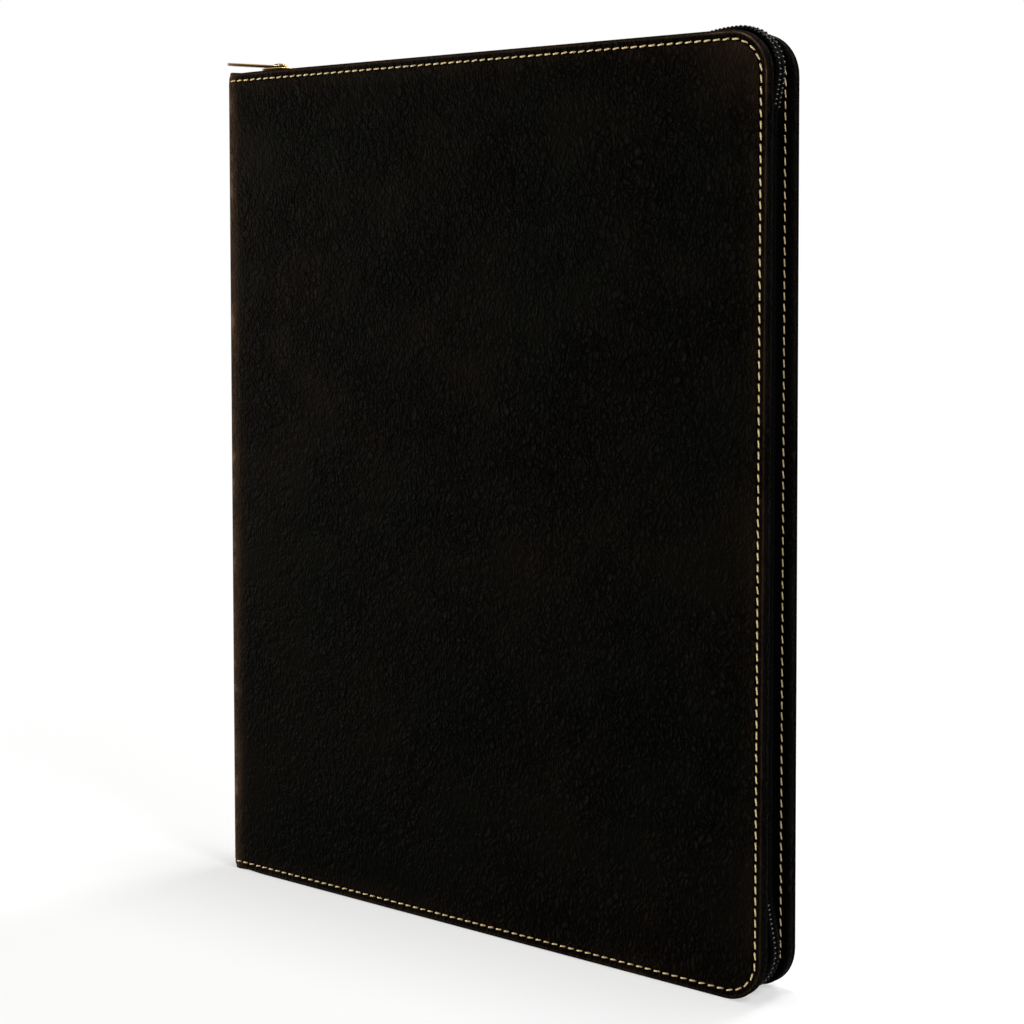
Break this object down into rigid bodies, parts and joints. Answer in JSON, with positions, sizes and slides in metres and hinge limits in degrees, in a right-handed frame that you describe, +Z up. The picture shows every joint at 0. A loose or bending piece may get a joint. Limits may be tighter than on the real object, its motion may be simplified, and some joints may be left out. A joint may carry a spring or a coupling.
{
  "type": "zippered padfolio",
  "caption": "Zip-around writing case: two padded covers on a folding spine, a zip with slider and pull on three sides, and a notepad, pockets and pen loop inside.",
  "frame": {"origin": "middle of the footprint of the closed case, at the height of the bottom edge it stands on", "axes": "+Z up, +X from the spine to the fore edge, +Y from the front cover to the back cover"},
  "size_m": [0.2474, 0.019, 0.3101],
  "materials": {
    "leatherette": "satin",
    "pocket_leatherette": "satin",
    "foam": "matte",
    "board": "matte",
    "backing_card": "matte",
    "lining": "matte",
    "elastic": "matte",
    "zip_tape": "matte",
    "zip_coil": "glossy",
    "brass": "polished",
    "paper": "matte",
    "binding_tape": "matte"
  },
  "bodies": {
    "back": {"back_skin": "leatherette", "back_foam": "foam", "back_board": "board", "back_lining": "lining", "pad_slot_panel": "pocket_leatherette", "notepad_backing": "backing_card", "notepad_sheets": "paper", "notepad_binding": "binding_tape", "zip_tape_back": "zip_tape", "zip_coil_back": "zip_coil", "zip_top_stop": "brass", "zip_bottom_stop": "brass"},
    "spine": {"spine_skin": "leatherette", "spine_board": "board", "spine_lining": "lining", "pen_loop": "elastic"},
    "front": {"front_skin": "leatherette", "front_foam": "foam", "front_board": "board", "front_lining": "lining", "document_pocket": "pocket_leatherette", "card_pocket_upper": "pocket_leatherette", "card_pocket_middle": "pocket_leatherette", "card_pocket_lower": "pocket_leatherette", "zip_tape_front": "zip_tape", "zip_coil_front": "zip_coil"},
    "slider": {"slider_body": "brass", "slider_bridge": "brass"},
    "pull": {"pull_tab": "brass"}
  },
  "joints": [
    {"name": "back_fold", "type": "hinge", "parent": "back", "child": "spine", "pos_m": [-0.11614, 0.00833, 0.1525], "axis": [0, 0, -1], "range_deg": [0, 90]},
    {"name": "front_fold", "type": "hinge", "parent": "spine", "child": "front", "pos_m": [-0.11614, -0.00833, 0.1525], "axis": [0, 0, -1], "range_deg": [0, 90]},
    {"name": "zip_slide", "type": "slide", "parent": "back", "child": "slider", "axis": [1, 0, 0], "range_m": [0, 0.175]},
    {"name": "pull_swing", "type": "hinge", "parent": "slider", "child": "pull", "pos_m": [-0.09781, 0, 0.30715], "axis": [0, 1, 0], "range_deg": [0, 169]}
  ],
  "couplings": [
    {"joint": "back_fold", "follows": "front_fold", "ratio": 1}
  ]
}
